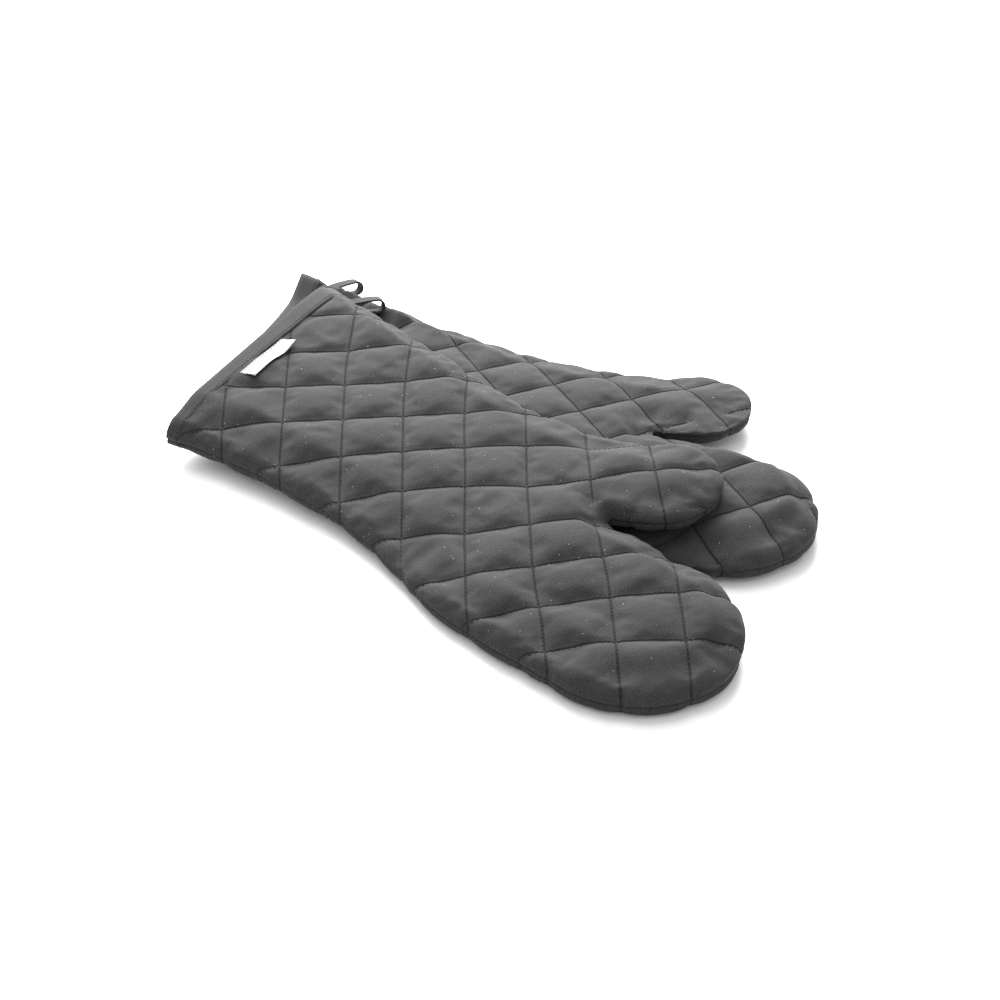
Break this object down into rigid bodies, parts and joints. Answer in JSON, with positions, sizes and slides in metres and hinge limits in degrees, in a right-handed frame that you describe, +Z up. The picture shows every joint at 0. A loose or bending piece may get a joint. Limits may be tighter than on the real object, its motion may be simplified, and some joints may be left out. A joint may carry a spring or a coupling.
{
  "type": "heat resistant glove",
  "caption": "Pair of long quilted cotton mitts with thumbs, bound slanted cuffs and hanging loops, one lying across the other.",
  "frame": {"origin": "middle of the pair's footprint, on the table", "axes": "+X along the lower mitt from cuff to fingertips, +Y towards its thumb, +Z up through the pair"},
  "size_m": [0.4628, 0.357, 0.0407],
  "materials": {
    "twill_cover": "matt cotton twill, dark grey",
    "wadding": "matt felted wadding, off white",
    "lining": "matt brushed cotton, dark grey",
    "seam_thread": "matt overlocked thread, dark grey",
    "binding_tape": "matt cotton tape, dark grey",
    "label_tape": "soft satin woven tape, white, blank"
  },
  "bodies": {
    "lower_hand": {"lower_hand_top_cover": "twill_cover", "lower_hand_bottom_cover": "twill_cover", "lower_hand_top_wadding": "wadding", "lower_hand_bottom_wadding": "wadding", "lower_hand_top_lining": "lining", "lower_hand_bottom_lining": "lining", "lower_hand_edge_seam": "seam_thread", "lower_hand_quilting_thread": "seam_thread", "lower_cuff_binding": "binding_tape", "lower_binding_thread": "seam_thread"},
    "lower_thumb": {"lower_thumb_top_cover": "twill_cover", "lower_thumb_bottom_cover": "twill_cover", "lower_thumb_top_wadding": "wadding", "lower_thumb_bottom_wadding": "wadding", "lower_thumb_top_lining": "lining", "lower_thumb_bottom_lining": "lining", "lower_thumb_edge_seam": "seam_thread", "lower_thumb_quilting_thread": "seam_thread"},
    "lower_loop": {"lower_hanging_loop": "binding_tape"},
    "upper_hand": {"upper_hand_top_cover": "twill_cover", "upper_hand_bottom_cover": "twill_cover", "upper_hand_top_wadding": "wadding", "upper_hand_bottom_wadding": "wadding", "upper_hand_top_lining": "lining", "upper_hand_bottom_lining": "lining", "upper_hand_edge_seam": "seam_thread", "upper_hand_quilting_thread": "seam_thread", "upper_cuff_binding": "binding_tape", "upper_binding_thread": "seam_thread"},
    "upper_thumb": {"upper_thumb_top_cover": "twill_cover", "upper_thumb_bottom_cover": "twill_cover", "upper_thumb_top_wadding": "wadding", "upper_thumb_bottom_wadding": "wadding", "upper_thumb_top_lining": "lining", "upper_thumb_bottom_lining": "lining", "upper_thumb_edge_seam": "seam_thread", "upper_thumb_quilting_thread": "seam_thread"},
    "upper_fingers": {"upper_fingers_top_cover": "twill_cover", "upper_fingers_bottom_cover": "twill_cover", "upper_fingers_top_wadding": "wadding", "upper_fingers_bottom_wadding": "wadding", "upper_fingers_top_lining": "lining", "upper_fingers_bottom_lining": "lining", "upper_fingers_edge_seam": "seam_thread", "upper_fingers_quilting_thread": "seam_thread"},
    "upper_loop": {"upper_hanging_loop": "binding_tape"},
    "upper_label": {"upper_label": "label_tape"}
  },
  "joints": [
    {"name": "upper_mitt_lift", "type": "slide", "parent": "lower_hand", "child": "upper_hand", "axis": [0, 0, 1], "range_m": [0, 0.15]},
    {"name": "lower_thumb_fold", "type": "hinge", "parent": "lower_hand", "child": "lower_thumb", "pos_m": [0.05122, 0.10504, 0.02035], "axis": [0.8131, -0.5821, 0], "range_deg": [0, 60]},
    {"name": "upper_thumb_fold", "type": "hinge", "parent": "upper_hand", "child": "upper_thumb", "pos_m": [0.08621, -0.00696, 0.03526], "axis": [0.6495, -0.7578, -0.0631], "range_deg": [0, 60]},
    {"name": "upper_fingers_fold", "type": "hinge", "parent": "upper_hand", "child": "upper_fingers", "pos_m": [0.13793, -0.10988, 0.02559], "axis": [-0.2376, -0.9675, -0.0864], "range_deg": [0, 75]},
    {"name": "lower_loop_swing", "type": "hinge", "parent": "lower_hand", "child": "lower_loop", "pos_m": [-0.22244, 0.14893, 0.0151], "axis": [1, 0, 0], "range_deg": [0, 90]},
    {"name": "upper_loop_swing", "type": "hinge", "parent": "upper_hand", "child": "upper_loop", "pos_m": [-0.16909, 0.10093, 0.0357], "axis": [0.9711, -0.2385, 0], "range_deg": [0, 90]},
    {"name": "upper_label_lift", "type": "hinge", "parent": "upper_hand", "child": "upper_label", "pos_m": [-0.16425, 0.00737, 0.037], "axis": [0.0035, -0.9965, -0.083], "range_deg": [0, 120]}
  ]
}
